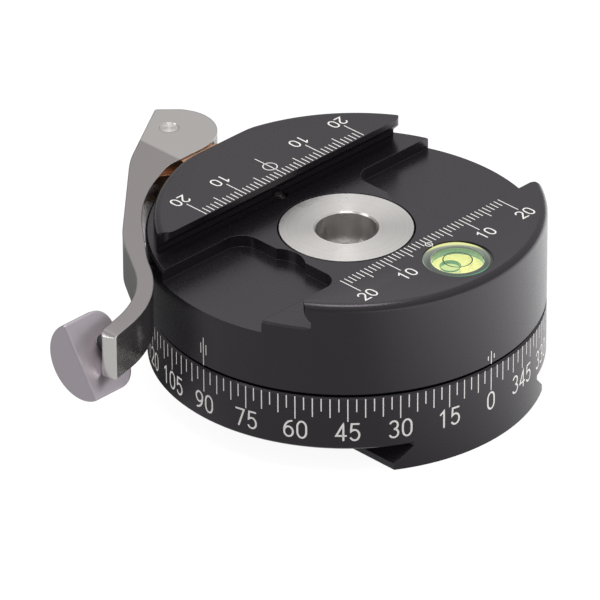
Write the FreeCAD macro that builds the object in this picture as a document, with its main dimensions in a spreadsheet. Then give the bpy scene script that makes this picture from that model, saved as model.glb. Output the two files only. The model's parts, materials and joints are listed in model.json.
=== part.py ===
"""Panoramic clamp head: a round lever clamp that turns on a base with a dovetail foot.

Frame: origin on the turning axis at the foot's bottom face, +Z up, -Y towards the fixed jaw,
+Y towards the moving jaw and the lever's pivot, the plate channel along X. Millimetres.
"""
import FreeCAD, Part
import math
import os
import Sketcher

Vector = FreeCAD.Vector

# Driving dimensions, in millimetres, with angles in degrees and counts as numbers
SIZES = {
    # round envelope and the heights from the foot upwards
    "body_diameter": 72.0,
    "foot_width": 38.0,
    "foot_lip_height": 1.2,
    "foot_neck_width": 31.5,
    "foot_height": 4.8,
    "ring_height": 10.6,
    "seam_gap": 0.4,
    "deck_height": 13.6,
    "jaw_height": 4.8,
    "top_edge_radius": 1.5,
    "rim_bevel": 0.4,
    # turning joint
    "tripod_thread_diameter": 9.525,
    "access_bore_diameter": 11.2,
    "access_bore_depth": 6.0,
    "access_bore_bevel": 0.3,
    "hub_flange_diameter": 24.2,
    "hub_flange_height": 4.0,
    "hub_stem_diameter": 19.0,
    "hub_spigot_diameter": 13.0,
    "hub_gap": 0.35,
    "base_floor_height": 6.0,
    "bushing_wall": 1.5,
    "running_clearance": 0.03,
    "fixed_clearance": 0.02,
    "upper_washer_thickness": 0.5,
    "lower_washer_thickness": 1.0,
    "lower_washer_recess": 0.3,
    "lower_washer_rim_gap": 0.4,
    "lock_nut_diameter": 19.0,
    "lock_nut_height": 2.7,
    "lock_nut_recess": 0.3,
    "lock_nut_hole_diameter": 1.6,
    "dowel_diameter": 2.0,
    "dowel_length": 4.0,
    "dowel_spigot_gap": 0.6,
    # drum and shoe of the turning lock
    "ring_wall": 6.5,
    "cavity_step": 0.2,
    "cavity_floor_height": 7.5,
    "drum_wall": 2.6,
    "drum_bottom_height": 8.0,
    "drum_flange_thickness": 2.0,
    "drum_gap": 0.5,
    "drum_screw_diameter": 2.5,
    "drum_screw_head_diameter": 4.0,
    "drum_screw_head_height": 1.6,
    "drum_screw_length": 7.0,
    "drum_screw_outer_gap": 0.2,
    "drum_screw_inner_gap": 0.1,
    "drum_screw_count": 4,
    "lock_azimuth": 45.0,
    "lock_height": 10.1,
    "lock_travel": 0.6,
    "shoe_width": 6.4,
    "shoe_length": 4.05,
    "shoe_clearance": 0.1,
    "lock_screw_diameter": 5.0,
    "lock_screw_inset": 1.9,
    "lock_clip_thickness": 0.5,
    "lock_clip_diameter": 6.2,
    "lock_clip_groove": 0.4,
    "lock_sleeve_diameter": 9.0,
    "lock_sleeve_flange_diameter": 9.8,
    "lock_sleeve_flange_thickness": 1.2,
    "lock_face_depth": 0.6,
    "knob_gap": 0.2,
    "knob_diameter": 15.0,
    "knob_length": 12.5,
    "knob_groove_diameter": 2.4,
    "knob_groove_count": 12,
    "knob_screw_depth": 9.5,
    "knob_cap_diameter": 9.0,
    "knob_cap_thickness": 1.2,
    "knob_cap_bevel": 0.2,
    # plate channel
    "fixed_lip_distance": 18.1,
    "moving_lip_distance": 15.1,
    "lip_land": 1.2,
    "lip_undercut": 2.4,
    "fixed_tip_radius": 1.5,
    "moving_tip_radius": 2.0,
    "pocket_distance": 14.1,
    "pocket_half_width": 12.4,
    "pocket_corner_radius": 3.6,
    "pocket_depth": 2.3,
    "pocket_relief_radius": 5.6,
    "pocket_relief_reach": 1.35,
    # bubble level
    "level_distance": 27.6,
    "level_seat_diameter": 12.6,
    "level_seat_depth": 4.6,
    "level_vial_diameter": 12.4,
    "level_vial_drop": 0.25,
    "level_cavity_diameter": 9.5,
    "level_window_thickness": 1.0,
    "level_base_thickness": 0.6,
    "level_bubble_diameter": 3.7,
    "level_bubble_offset": 1.85,
    # moving jaw
    "jaw_inset": 2.2,
    "jaw_slide_clearance": 0.05,
    "pad_thickness": 3.55,
    "skirt_width": 24.0,
    "skirt_front_distance": 24.0,
    "skirt_drop": 7.2,
    "notch_clearance": 0.1,
    "guide_pin_diameter": 3.0,
    "guide_pin_spacing": 19.0,
    "guide_pin_drop": 3.8,
    "guide_pin_start": 15.5,
    "guide_pin_end": 31.0,
    "spring_outer_diameter": 5.0,
    "spring_wire_diameter": 0.6,
    "spring_length": 4.4,
    "spring_turns": 4.0,
    # wear pad between the jaw and the cam
    "pad_left_reach": 7.7,
    "pad_tall_left_reach": 6.6,
    "pad_tall_right_reach": 2.2,
    "pad_top_drop": 2.5,
    "pad_shelf_height": 6.5,
    "pad_screw_diameter": 2.0,
    "pad_screw_head_diameter": 3.6,
    "pad_screw_head_height": 1.2,
    "pad_screw_spacing": 10.6,
    "pad_screw_depth": 4.5,
    # draw bar from the deck to the lever's pin
    "bar_diameter": 4.0,
    "bar_drop": 3.8,
    "bar_start": 14.2,
    "bar_slot_clearance": 0.3,
    "eye_diameter": 7.2,
    "eye_height": 3.4,
    "eye_bottom_drop": 4.5,
    "eye_side_clearance": 0.15,
    "pin_diameter": 3.5,
    "pin_recess": 0.1,
    "set_screw_distance": 16.5,
    "set_screw_diameter": 2.5,
    "set_screw_recess": 0.5,
    "set_screw_tip_diameter": 1.4,
    "set_screw_tip_depth": 1.0,
    "set_screw_socket_diameter": 1.3,
    "set_screw_socket_depth": 0.9,
    # lever
    "pivot_offset": 9.4,
    "cam_radius": 9.8,
    "cam_clearance": 0.05,
    "jaw_travel": 3.0,
    "lever_angle": 135.0,
    "lever_height": 8.8,
    "lever_top_drop": 2.2,
    "lever_corner_radius": 0.6,
    "lever_tip_radius": 1.6,
    "arm_gap": 0.6,
    "slot_swing_clearance": 0.5,
    # thumb pad
    "thumb_radius": 7.25,
    "thumb_length": 10.2,
    "thumb_tilt": 32.5,
    "thumb_end_reach": 26.0,
    "thumb_centre_offset": 4.74,
    "thumb_centre_drop": 6.5,
    "thumb_face_distance": 0.6,
    "thumb_corner_radius": 3.5,
    "thumb_edge_radius": 0.4,
    "thumb_screw_diameter": 2.5,
    "thumb_screw_head_diameter": 4.6,
    "thumb_screw_head_height": 1.4,
    "thumb_screw_reach": 19.5,
    "thumb_screw_drop": 2.9,
    "thumb_screw_end": 0.6,
}

# The lever's arm: each corner as distance outside the round wall, angle and corner radius
ARM_OUTER_CORNERS = [(7.92, 107.9, 30.0), (4.69, 145.4, 22.0), (9.28, 173.1, 24.0), (23.25, 178.1, 1.0)]
ARM_INNER_CORNERS = [(22.6, 181.2, 0.5), (6.96, 176.5, 27.2), (2.72, 159.2, 30.0)]
ARM_WRAP_ANGLES = (140.3, 113.0)
ARM_BLEND_RADIUS = 10.0
CAM_POINT_COUNT = 10

doc = FreeCAD.newDocument("panoramic_clamp_head")
sheet = doc.addObject("Spreadsheet::Sheet", "sizes")
nodes = {}


class Size:
    """A length that knows both its value and its formula in the sheet's aliases."""

    def __init__(self, formula, value):
        self.formula = formula
        self.value = value

    def joined(self, sign, other, value):
        return Size("(%s %s %s)" % (self.formula, sign, as_size(other).formula), value)

    def __add__(self, other):
        return self.joined("+", other, self.value + as_size(other).value)

    def __sub__(self, other):
        return self.joined("-", other, self.value - as_size(other).value)

    def __mul__(self, other):
        return self.joined("*", other, self.value * as_size(other).value)

    def __truediv__(self, other):
        return self.joined("/", other, self.value / as_size(other).value)

    def __neg__(self):
        return as_size(0) - self


def as_size(number):
    if isinstance(number, Size):
        return number
    return Size(repr(number), number)


def fill_sheet():
    for row, (name, number) in enumerate(SIZES.items(), 1):
        sheet.set("A%d" % row, name)
        sheet.set("B%d" % row, str(number))
        sheet.setAlias("B%d" % row, name)
    doc.recompute()


def size(name):
    return Size("sizes.%s" % name, float(sheet.get(name)))


def bind(thing, place, length):
    """Tie one property of an object to the sheet."""
    thing.setExpression(place, as_size(length).formula)


def bind_base(thing, x, y, z):
    for axis, length in (("x", x), ("y", y), ("z", z)):
        bind(thing, "Placement.Base.%s" % axis, length)


TURNS = {
    "Z": FreeCAD.Rotation(),
    "X": FreeCAD.Rotation(Vector(0, 1, 0), 90),
    "Y": FreeCAD.Rotation(Vector(1, 0, 0), -90),
}


def cylinder(name, diameter, height, x=0, y=0, z=0, along="Z"):
    rod = doc.addObject("Part::Cylinder", name)
    rod.Placement = FreeCAD.Placement(Vector(), TURNS[along])
    bind(rod, "Radius", as_size(diameter) / 2)
    bind(rod, "Height", height)
    bind_base(rod, x, y, z)
    return rod


def cone(name, diameter_start, diameter_end, height, x=0, y=0, z=0, along="Z"):
    taper = doc.addObject("Part::Cone", name)
    taper.Placement = FreeCAD.Placement(Vector(), TURNS[along])
    bind(taper, "Radius1", as_size(diameter_start) / 2)
    bind(taper, "Radius2", as_size(diameter_end) / 2)
    bind(taper, "Height", height)
    bind_base(taper, x, y, z)
    return taper


def box(name, x_low, x_high, y_low, y_high, z_low, z_high):
    block = doc.addObject("Part::Box", name)
    bind(block, "Length", as_size(x_high) - x_low)
    bind(block, "Width", as_size(y_high) - y_low)
    bind(block, "Height", as_size(z_high) - z_low)
    bind_base(block, x_low, y_low, z_low)
    return block


def fuse(name, *pieces):
    joined = doc.addObject("Part::MultiFuse", name)
    joined.Shapes = list(pieces)
    return joined


def cut(name, base, *tools):
    left = doc.addObject("Part::Cut", name)
    left.Base = base
    left.Tool = tools[0] if len(tools) == 1 else fuse(name + "_cutters", *tools)
    return left


def common(name, first, second):
    shared = doc.addObject("Part::MultiCommon", name)
    shared.Shapes = [first, second]
    return shared


def tube(name, outer_diameter, inner_diameter, height, x=0, y=0, z=0, along="Z"):
    outer = cylinder(name + "_outer", outer_diameter, height, x, y, z, along)
    inner = cylinder(name + "_inner", inner_diameter, height, x, y, z, along)
    return cut(name, outer, inner)


def edges_where(thing, test):
    """Numbers of the edges of a finished object that pass a test, counted from one."""
    doc.recompute()
    return [number for number, edge in enumerate(thing.Shape.Edges, 1) if test(edge)]


def rounded(name, thing, radius, test, kind="Part::Fillet"):
    smooth = doc.addObject(kind, name)
    smooth.Base = thing
    value = as_size(radius).value
    smooth.Edges = [(number, value, value) for number in edges_where(thing, test)]
    return smooth


def is_circle_at(edge, radius, height):
    if not isinstance(edge.Curve, Part.Circle):
        return False
    near_height = abs(edge.Curve.Center.z - height) < 0.001
    return near_height and abs(edge.Curve.Radius - radius) < 0.001


def polygon_sketch(sketch, corners):
    """Draw a closed outline whose corners are tied to the sheet."""
    count = len(corners)
    flat = [Vector(as_size(u).value, as_size(v).value, 0) for u, v in corners]
    for index in range(count):
        sketch.addGeometry(Part.LineSegment(flat[index], flat[(index + 1) % count]), False)
    for index in range(count):
        sketch.addConstraint(Sketcher.Constraint("Coincident", index, 2, (index + 1) % count, 1))
    for index, corner in enumerate(corners):
        for kind, axis, length in (("DistanceX", -2, corner[0]), ("DistanceY", -1, corner[1])):
            length = as_size(length)
            if length.value == 0:
                sketch.addConstraint(Sketcher.Constraint("PointOnObject", index, 1, axis))
                continue
            number = sketch.addConstraint(Sketcher.Constraint(kind, -1, 1, index, 1, length.value))
            sketch.setExpression("Constraints[%d]" % number, length.formula)


def plane_of(body, role):
    return next(plane for plane in body.Origin.OriginFeatures if plane.Role == role)


def body_with_sketch(name, role, corners):
    body = doc.addObject("PartDesign::Body", name)
    sketch = body.newObject("Sketcher::SketchObject", name + "_outline")
    sketch.AttachmentSupport = [(plane_of(body, role), "")]
    sketch.MapMode = "FlatFace"
    polygon_sketch(sketch, corners)
    return body, sketch


def turned_body(name, corners):
    """A turned piece: an outline of radius and height spun about the Z axis."""
    body, sketch = body_with_sketch(name, "XZ_Plane", corners)
    spin = body.newObject("PartDesign::Revolution", name + "_turning")
    spin.Profile = sketch
    spin.ReferenceAxis = (sketch, ["V_Axis"])
    spin.Angle = 360
    doc.recompute()
    return body


def prism(name, role, corners, length):
    """A straight bar with an even outline, centred on the outline's plane."""
    body, sketch = body_with_sketch(name, role, corners)
    pad = body.newObject("PartDesign::Pad", name + "_pad")
    pad.Profile = sketch
    pad.Midplane = True
    bind(pad, "Length", length)
    doc.recompute()
    return body


def spread(name, piece, count, radius_angle=0.0):
    """Copies of one piece spaced evenly about the Z axis."""
    copies = []
    for index in range(count):
        link = doc.addObject("Part::Feature", "%s_%d" % (name, index + 1))
        turn = FreeCAD.Rotation(Vector(0, 0, 1), radius_angle + 360.0 * index / count)
        link.Shape = piece.Shape
        link.Placement = FreeCAD.Placement(Vector(), turn).multiply(link.Placement)
        copies.append(link)
    return copies


def keep(name, thing):
    """Name a finished sub-part; its label is the node's name."""
    thing.Label = name
    nodes[name] = thing
    return thing


def turn_about_axis(thing, angle):
    thing.Placement = FreeCAD.Placement(Vector(), FreeCAD.Rotation(Vector(0, 0, 1), 0))
    bind(thing, "Placement.Rotation.Angle", angle)
    return thing


fill_sheet()

# Levels and radii that several pieces share
BODY_D = size("body_diameter")
BODY_R = BODY_D / 2
FOOT_TOP = size("foot_height")
RING_TOP = FOOT_TOP + size("ring_height")
DECK_BOTTOM = RING_TOP + size("seam_gap")
DECK_TOP = DECK_BOTTOM + size("deck_height")
JAW_TOP = DECK_TOP + size("jaw_height")
LAND_Z = RING_TOP - size("lower_washer_recess")
WASHER_TOP = LAND_Z + size("lower_washer_thickness")
FLANGE_BOTTOM = DECK_TOP - size("hub_flange_height")
SHOULDER_Z = FLANGE_BOTTOM - size("upper_washer_thickness")
STEM_D = size("hub_stem_diameter")
DOWEL_CIRCLE_D = size("hub_spigot_diameter") + size("dowel_diameter") + size("dowel_spigot_gap") * 2
RUN = size("running_clearance") * 2
FIT = size("fixed_clearance") * 2
BUSHING_BORE = STEM_D + RUN
BUSHING_D = BUSHING_BORE + size("bushing_wall") * 2
CAVITY_D = BODY_D - size("ring_wall") * 2
DRUM_D = CAVITY_D - size("drum_gap") * 2
DRUM_TOP = WASHER_TOP + size("drum_flange_thickness")
DRUM_INNER_D = DRUM_D - size("drum_wall") * 2
SCREW_HEAD_D = size("drum_screw_head_diameter")
SCREW_CIRCLE_D = DRUM_INNER_D - SCREW_HEAD_D - size("drum_screw_outer_gap") * 2
FLANGE_INNER_D = SCREW_CIRCLE_D - SCREW_HEAD_D - size("drum_screw_inner_gap") * 2
CAVITY_INNER_D = FLANGE_INNER_D - size("cavity_step") * 2
LOWER_WASHER_D = CAVITY_INNER_D - size("lower_washer_rim_gap") * 2
BAR_Z = DECK_TOP - size("bar_drop")
EYE_LOW = DECK_TOP - size("eye_bottom_drop")
EYE_HIGH = EYE_LOW + size("eye_height")
PIN_Y = BODY_R + size("pivot_offset")
LEVER_TOP = JAW_TOP - size("lever_top_drop")
LEVER_BOTTOM = LEVER_TOP - size("lever_height")
PAD_FACE = PIN_Y - size("cam_radius") - size("cam_clearance")
JAW_FLAT = PAD_FACE - size("pad_thickness")
GUIDE_Z = DECK_TOP - size("guide_pin_drop")
GUIDE_X = size("guide_pin_spacing") / 2
SKIRT_BOTTOM = DECK_TOP - size("skirt_drop")
JAW_BOTTOM = DECK_TOP + size("jaw_slide_clearance")
THREAD_D = size("tripod_thread_diameter")
REACH = BODY_D


def base_housing():
    """Scaled ring with its dovetail foot, hollowed for the drum, the stem and the lock."""
    half_foot = size("foot_width") / 2
    half_neck = size("foot_neck_width") / 2
    lip = size("foot_lip_height")
    slope_top = lip + half_foot - half_neck
    joined = FOOT_TOP + size("rim_bevel")
    outline = [(-half_foot, 0), (half_foot, 0), (half_foot, lip), (half_neck, slope_top),
               (half_neck, joined), (-half_neck, joined), (-half_neck, slope_top),
               (-half_foot, lip)]
    foot = common("foot", prism("foot_bar", "XZ_Plane", outline, BODY_D * 2),
                  cylinder("foot_round", BODY_D, joined))
    ring = cylinder("ring_block", BODY_D, size("ring_height"), z=FOOT_TOP)
    bevels = (FOOT_TOP.value, RING_TOP.value)
    ring = rounded("ring_bevelled", ring, size("rim_bevel"),
                   lambda edge: any(is_circle_at(edge, BODY_R.value, level) for level in bevels),
                   "Part::Chamfer")
    cavity = tube("drum_cavity", CAVITY_D, CAVITY_INNER_D, REACH,
                  z=size("cavity_floor_height"))
    land = cylinder("washer_land", CAVITY_INNER_D + FIT, REACH, z=LAND_Z)
    socket = cylinder("stem_socket", STEM_D + FIT, REACH, z=size("base_floor_height"))
    spigot = cylinder("spigot_bore", size("hub_spigot_diameter") + FIT, REACH)
    nut_seat = cylinder("lock_nut_seat", size("lock_nut_diameter") + FIT,
                        size("lock_nut_recess") + size("lock_nut_height"))
    dowel_z = size("base_floor_height") - size("dowel_length") / 2
    dowels = cylinder_pair("base_dowel_hole", size("dowel_diameter") + FIT, size("dowel_length"),
                           DOWEL_CIRCLE_D / 2, dowel_z)
    lock = lock_openings()
    keep("base_housing", cut("base_solid", fuse("base_block", foot, ring), cavity, land, socket,
                             spigot, nut_seat, *dowels, lock))


def cylinder_pair(name, diameter, height, distance, z):
    return [cylinder("%s_right" % name, diameter, height, x=distance, z=z),
            cylinder("%s_left" % name, diameter, height, x=-distance, z=z)]


def lock_openings():
    """Openings of the turning lock in the base's wall, drawn along X and then turned."""
    half = size("shoe_width") / 2 + size("shoe_clearance")
    middle = size("lock_height")
    sleeve_start = sleeve_inner_end()
    slot = box("shoe_slot", CAVITY_D / 2 - 1, sleeve_start, -half, half, middle - half, middle + half)
    bore = cylinder("sleeve_bore", size("lock_sleeve_diameter") + FIT, REACH, x=sleeve_start,
                    z=middle, along="X")
    face = cylinder("sleeve_face", size("lock_sleeve_flange_diameter") + FIT, REACH,
                    x=BODY_R - size("lock_face_depth"), z=middle, along="X")
    return turn_about_axis(fuse("lock_openings", slot, bore, face), size("lock_azimuth"))


def shoe_rest_radius():
    return DRUM_D / 2 + size("lock_travel") + size("fixed_clearance") * 2


def clip_start():
    return shoe_rest_radius() + size("shoe_length") + size("shoe_clearance")


def sleeve_inner_end():
    return clip_start() + size("lock_clip_thickness") + size("shoe_clearance")


def knob_start():
    return (BODY_R - size("lock_face_depth") + size("lock_sleeve_flange_thickness")
            + size("knob_gap"))


def spindle_hub():
    """Stainless hub: top flange, stem, spigot, tripod thread and the wider access bore."""
    flange = size("hub_flange_diameter") / 2
    stem = STEM_D / 2
    spigot = size("hub_spigot_diameter") / 2
    thread = THREAD_D / 2
    bore = size("access_bore_diameter") / 2
    bevel = size("access_bore_bevel")
    ledge = DECK_TOP - size("access_bore_depth")
    floor = size("base_floor_height")
    outline = [(thread, 0), (spigot, 0), (spigot, floor), (stem, floor), (stem, FLANGE_BOTTOM),
               (flange, FLANGE_BOTTOM), (flange, DECK_TOP), (bore + bevel, DECK_TOP),
               (bore, DECK_TOP - bevel), (bore, ledge), (thread, ledge)]
    hub = turned_body("hub_turned", outline)
    dowels = cylinder_pair("hub_dowel_hole", size("dowel_diameter") + FIT,
                           size("dowel_length") / 2 + size("fixed_clearance"),
                           DOWEL_CIRCLE_D / 2, floor)
    keep("spindle_hub", cut("hub_solid", hub, *dowels))


def hub_fastening():
    """Ring nut under the foot and the two dowels that stop the hub from turning."""
    ring = tube("nut_ring", size("lock_nut_diameter"), size("hub_spigot_diameter") + FIT,
                size("lock_nut_height"), z=size("lock_nut_recess"))
    middle = (size("lock_nut_diameter") + size("hub_spigot_diameter")) / 4
    holes = cylinder_pair("nut_hole", size("lock_nut_hole_diameter"), REACH, middle, -REACH / 2)
    keep("hub_lock_nut", cut("nut_solid", ring, *holes))
    pins = cylinder_pair("dowel", size("dowel_diameter"), size("dowel_length"),
                         DOWEL_CIRCLE_D / 2,
                         size("base_floor_height") - size("dowel_length") / 2)
    keep("hub_dowels", fuse("dowel_pair", *pins))


def bearings():
    """Plain bearings of the turning joint: two thrust washers and a flangeless bushing."""
    keep("lower_thrust_washer", tube("lower_washer", LOWER_WASHER_D, STEM_D + 1,
                                     size("lower_washer_thickness"), z=LAND_Z))
    keep("radial_bushing", tube("bushing", BUSHING_D, BUSHING_BORE, SHOULDER_Z - WASHER_TOP,
                                z=WASHER_TOP))
    keep("upper_thrust_washer", tube("upper_washer", size("hub_flange_diameter"), STEM_D + RUN * 2,
                                     size("upper_washer_thickness"), z=SHOULDER_Z))


def brake_ring():
    """Drum under the clamp that the lock's shoe presses on, with its screws."""
    outer = DRUM_D / 2
    inner = DRUM_INNER_D / 2
    flange = FLANGE_INNER_D / 2
    low = size("drum_bottom_height")
    outline = [(flange, WASHER_TOP), (inner, WASHER_TOP), (inner, low), (outer, low),
               (outer, DRUM_TOP), (flange, DRUM_TOP)]
    drum = turned_body("drum_turned", outline)
    keep("brake_ring", cut("drum_solid", drum, *drum_holes("drum_hole", WASHER_TOP - 1)))
    shank_top = WASHER_TOP + size("drum_screw_length")
    shank = cylinder("drum_screw_shank", size("drum_screw_diameter"), size("drum_screw_length"),
                     x=SCREW_CIRCLE_D / 2, z=WASHER_TOP)
    head = cylinder("drum_screw_head", SCREW_HEAD_D,
                    size("drum_screw_head_height"), x=SCREW_CIRCLE_D / 2,
                    z=shank_top - size("drum_screw_length") - size("drum_screw_head_height"))
    socket = cylinder("drum_screw_socket", SCREW_HEAD_D / 2,
                      size("drum_screw_head_height") / 2,
                      x=SCREW_CIRCLE_D / 2,
                      z=WASHER_TOP - size("drum_screw_head_height"))
    screw = cut("drum_screw", fuse("drum_screw_blank", shank, head), socket)
    doc.recompute()
    count = int(size("drum_screw_count").value)
    keep("brake_ring_screws", fuse("drum_screw_set", *spread("drum_screw_copy", screw, count, 45.0)))


def drum_holes(name, low):
    """Screw holes on the drum's bolt circle, from a level upwards."""
    hole = cylinder(name, size("drum_screw_diameter") + FIT,
                    WASHER_TOP + size("drum_screw_length") + size("fixed_clearance") - low,
                    x=SCREW_CIRCLE_D / 2, z=low)
    doc.recompute()
    return spread(name + "_copy", hole, int(size("drum_screw_count").value), 45.0)


def pan_lock():
    """Knob, screw, sleeve, clip and shoe of the turning lock, drawn along X and then turned."""
    middle = size("lock_height")
    azimuth = size("lock_azimuth")
    screw_d = size("lock_screw_diameter")
    start = knob_start()
    knob_end = start + size("knob_length")
    screw_end = start + size("knob_screw_depth")
    screw_start = CAVITY_D / 2 + size("lock_screw_inset")
    clip_x = clip_start()
    groove_d = screw_d - size("lock_clip_groove") * 2

    half = size("shoe_width") / 2
    rest = shoe_rest_radius()
    block = box("shoe_block", rest - 1, rest + size("shoe_length"), -half, half,
                middle - half, middle + half)
    front = cylinder("shoe_front", rest * 2, REACH)
    tap = cylinder("shoe_tap", screw_d + size("shoe_clearance"), REACH, x=screw_start - size("lock_travel"),
                   z=middle, along="X")
    keep("brake_shoe", turn_about_axis(cut("shoe_solid", block, front, tap), azimuth))

    rod = cylinder("lock_rod", screw_d, screw_end - screw_start, x=screw_start, z=middle, along="X")
    groove = tube("lock_groove", screw_d * 2, groove_d, size("lock_clip_thickness") + FIT,
                  x=clip_x - size("fixed_clearance"), z=middle, along="X")
    keep("pan_lock_screw", turn_about_axis(cut("lock_screw_solid", rod, groove), azimuth))

    keep("pan_lock_clip", turn_about_axis(
        tube("lock_clip", size("lock_clip_diameter"), groove_d + FIT, size("lock_clip_thickness"),
             x=clip_x, z=middle, along="X"), azimuth))

    flange_x = BODY_R - size("lock_face_depth")
    sleeve = cylinder("sleeve_barrel", size("lock_sleeve_diameter"), flange_x - sleeve_inner_end(),
                      x=sleeve_inner_end(), z=middle, along="X")
    flange = cylinder("sleeve_flange", size("lock_sleeve_flange_diameter"),
                      size("lock_sleeve_flange_thickness"), x=flange_x, z=middle, along="X")
    bore = cylinder("sleeve_hole", screw_d + RUN, REACH, x=sleeve_inner_end() - 1, z=middle, along="X")
    keep("pan_lock_sleeve", turn_about_axis(
        cut("sleeve_solid", fuse("sleeve_blank", sleeve, flange), bore), azimuth))

    blank = cylinder("knob_blank", size("knob_diameter"), size("knob_length"), x=start, z=middle,
                     along="X")
    blank = rounded("knob_rounded", blank, size("knob_length") / 16,
                    lambda edge: isinstance(edge.Curve, Part.Circle))
    hole = cylinder("knob_hole", screw_d + FIT, size("knob_screw_depth") + size("fixed_clearance"),
                    x=start, z=middle, along="X")
    cap_seat = cylinder("knob_cap_seat", size("knob_cap_diameter") + FIT, size("knob_cap_thickness"),
                        x=knob_end - size("knob_cap_thickness"), z=middle, along="X")
    grooves = []
    count = int(size("knob_groove_count").value)
    for index in range(count):
        angle = 2 * math.pi * index / count
        across = size("knob_diameter") / 2
        grooves.append(cylinder("knob_groove_%d" % (index + 1), size("knob_groove_diameter"), REACH,
                                x=start + size("knob_length") / 5, y=across * math.cos(angle),
                                z=middle + across * math.sin(angle), along="X"))
    keep("pan_lock_knob", turn_about_axis(
        cut("knob_solid", blank, hole, cap_seat, *grooves), azimuth))
    cap = cylinder("knob_cap_disc", size("knob_cap_diameter"), size("knob_cap_thickness"),
                   x=knob_end - size("knob_cap_thickness"), z=middle, along="X")
    rim = tube("knob_cap_rim", size("knob_cap_diameter"), size("knob_cap_diameter") - 1,
               size("knob_cap_bevel"),
               x=knob_end - size("knob_cap_bevel"), z=middle, along="X")
    keep("pan_lock_knob_cap", turn_about_axis(cut("knob_cap_solid", cap, rim), azimuth))


def lip_undercut(name, lip, side):
    """The dovetail undercut below one jaw's lip, as a bar along X; side is 1 or -1."""
    land_z = JAW_TOP - size("lip_land")
    deep = lip + size("lip_undercut")
    slope_z = land_z - size("lip_undercut")
    outline = [(lip - 1, land_z), (lip, land_z), (deep, slope_z), (deep, DECK_TOP),
               (lip - 1, DECK_TOP)]
    if side < 0:
        outline = [(-y, z) for y, z in outline]
    return prism(name, "YZ_Plane", outline, BODY_D * 2)


def is_tip_edge(edge, lip):
    """True for an upright edge between a jaw's lip and the round wall."""
    ends = [vertex.Point for vertex in edge.Vertexes]
    if len(ends) != 2 or not isinstance(edge.Curve, Part.Line):
        return False
    upright = abs(ends[0].x - ends[1].x) < 0.001 and abs(ends[0].y - ends[1].y) < 0.001
    return upright and abs(ends[0].y - lip) < 0.001


def fixed_jaw():
    lip = size("fixed_lip_distance")
    disc = cylinder("fixed_jaw_disc", BODY_D, size("jaw_height") + 1, z=DECK_TOP - 1)
    front = box("fixed_jaw_front", -REACH, REACH, -REACH, -lip, DECK_TOP - 1, JAW_TOP)
    blank = common("fixed_jaw_blank", disc, front)
    tips = rounded("fixed_jaw_tips", blank, size("fixed_tip_radius"),
                   lambda edge: is_tip_edge(edge, -lip.value))
    dome = rounded("fixed_jaw_dome", disc, size("top_edge_radius"),
                   lambda edge: is_circle_at(edge, BODY_R.value, JAW_TOP.value))
    top = common("fixed_jaw_top", tips, dome)
    return cut("fixed_jaw", top, lip_undercut("fixed_undercut", lip, -1))


def pocket(name, side):
    """One milled pocket of the channel floor with its relief towards the hub."""
    edge = size("pocket_distance")
    corner = size("pocket_corner_radius")
    half = size("pocket_half_width")
    low = DECK_TOP - size("pocket_depth")
    high = DECK_TOP + 1
    if side > 0:
        wide = box(name + "_wide", edge + corner, REACH, -half, half, low, high)
        narrow = box(name + "_narrow", edge, edge + corner * 2, corner - half, half - corner, low, high)
    else:
        wide = box(name + "_wide", -REACH, -edge - corner, -half, half, low, high)
        narrow = box(name + "_narrow", -edge - corner * 2, -edge, corner - half, half - corner, low, high)
    relief_r = size("pocket_relief_radius")
    relief_x = edge - size("pocket_relief_reach") + relief_r
    rounds = [((edge + corner) * side, half - corner, corner), ((edge + corner) * side, corner - half, corner),
              (relief_x * side, 0, relief_r)]
    rounded_parts = [cylinder("%s_round_%d" % (name, index), radius * 2, high - low, x=x, y=y, z=low)
                     for index, (x, y, radius) in enumerate(rounds)]
    return fuse(name, wide, narrow, *rounded_parts)


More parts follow.
